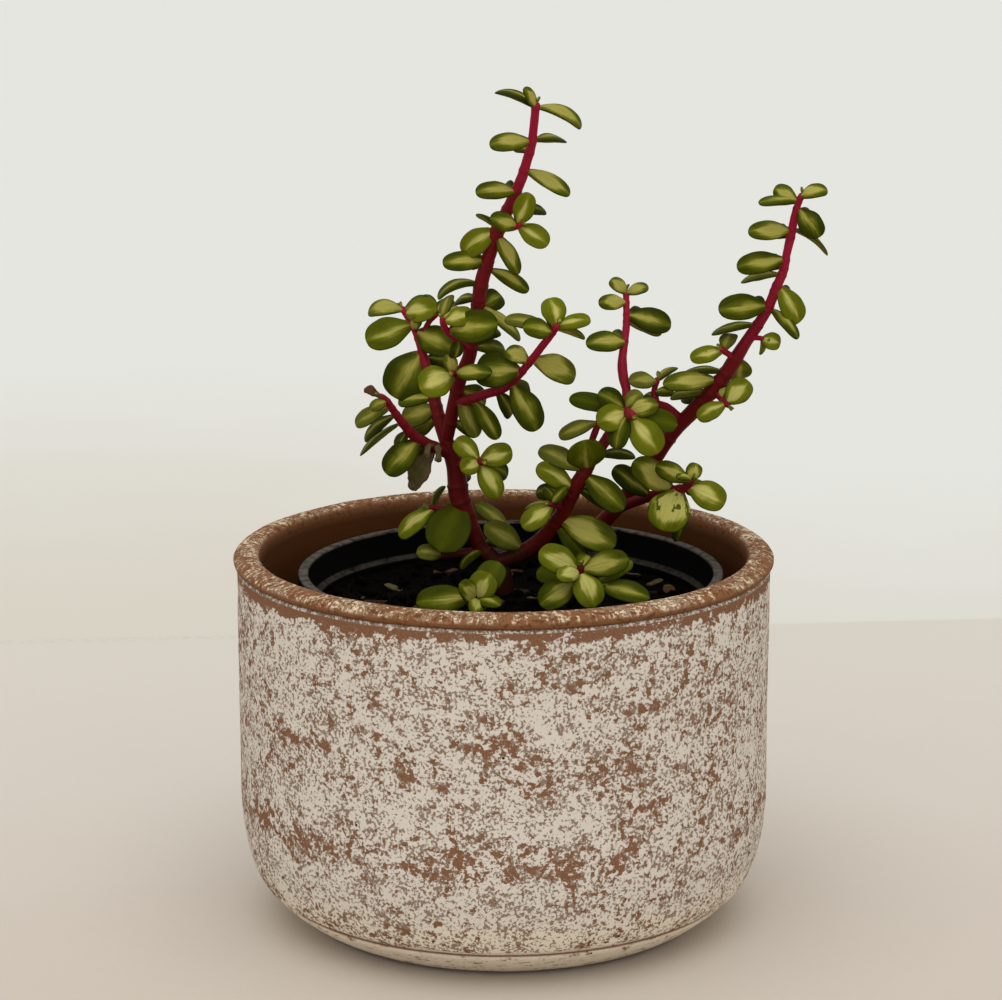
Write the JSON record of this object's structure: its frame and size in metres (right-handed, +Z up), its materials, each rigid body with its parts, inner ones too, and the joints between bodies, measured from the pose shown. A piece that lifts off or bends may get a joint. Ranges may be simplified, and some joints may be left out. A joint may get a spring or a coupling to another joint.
{
  "type": "potted elephant bush",
  "caption": "Small variegated elephant bush with red leafy stems, in a black nursery pot that stands inside a round-bottomed clay pot.",
  "frame": {"origin": "centre of the flat foot under the clay pot, on the surface it stands on", "axes": "+Z up along the pot's turning axis; +X to the right and -Y towards the viewer as in the picture"},
  "size_m": [0.1657, 0.152, 0.2372],
  "materials": {
    "clay": "unglazed brown clay with an off-white speckled slip",
    "black_plastic": "black with a satin lip",
    "soil": "dark, crumbly",
    "leaf_and_stem": "satin green and cream leaves on magenta-red stems",
    "dry_leaf": "dry, matt"
  },
  "bodies": {
    "root": {"clay_pot": "clay", "nursery_pot": "black_plastic", "soil": "soil", "trunk": "leaf_and_stem", "tall_stem": "leaf_and_stem", "leaning_shoot": "leaf_and_stem", "middle_stem": "leaf_and_stem", "leaf_cluster": "leaf_and_stem", "thick_stem": "leaf_and_stem", "left_twig": "leaf_and_stem", "low_right_shoot": "leaf_and_stem", "front_right_rosette": "leaf_and_stem", "front_left_rosette": "leaf_and_stem", "fallen_leaf_1": "dry_leaf", "fallen_leaf_2": "dry_leaf", "fallen_leaf_3": "dry_leaf", "fallen_leaf_4": "dry_leaf", "fallen_leaf_5": "dry_leaf"}
  },
  "joints": []
}
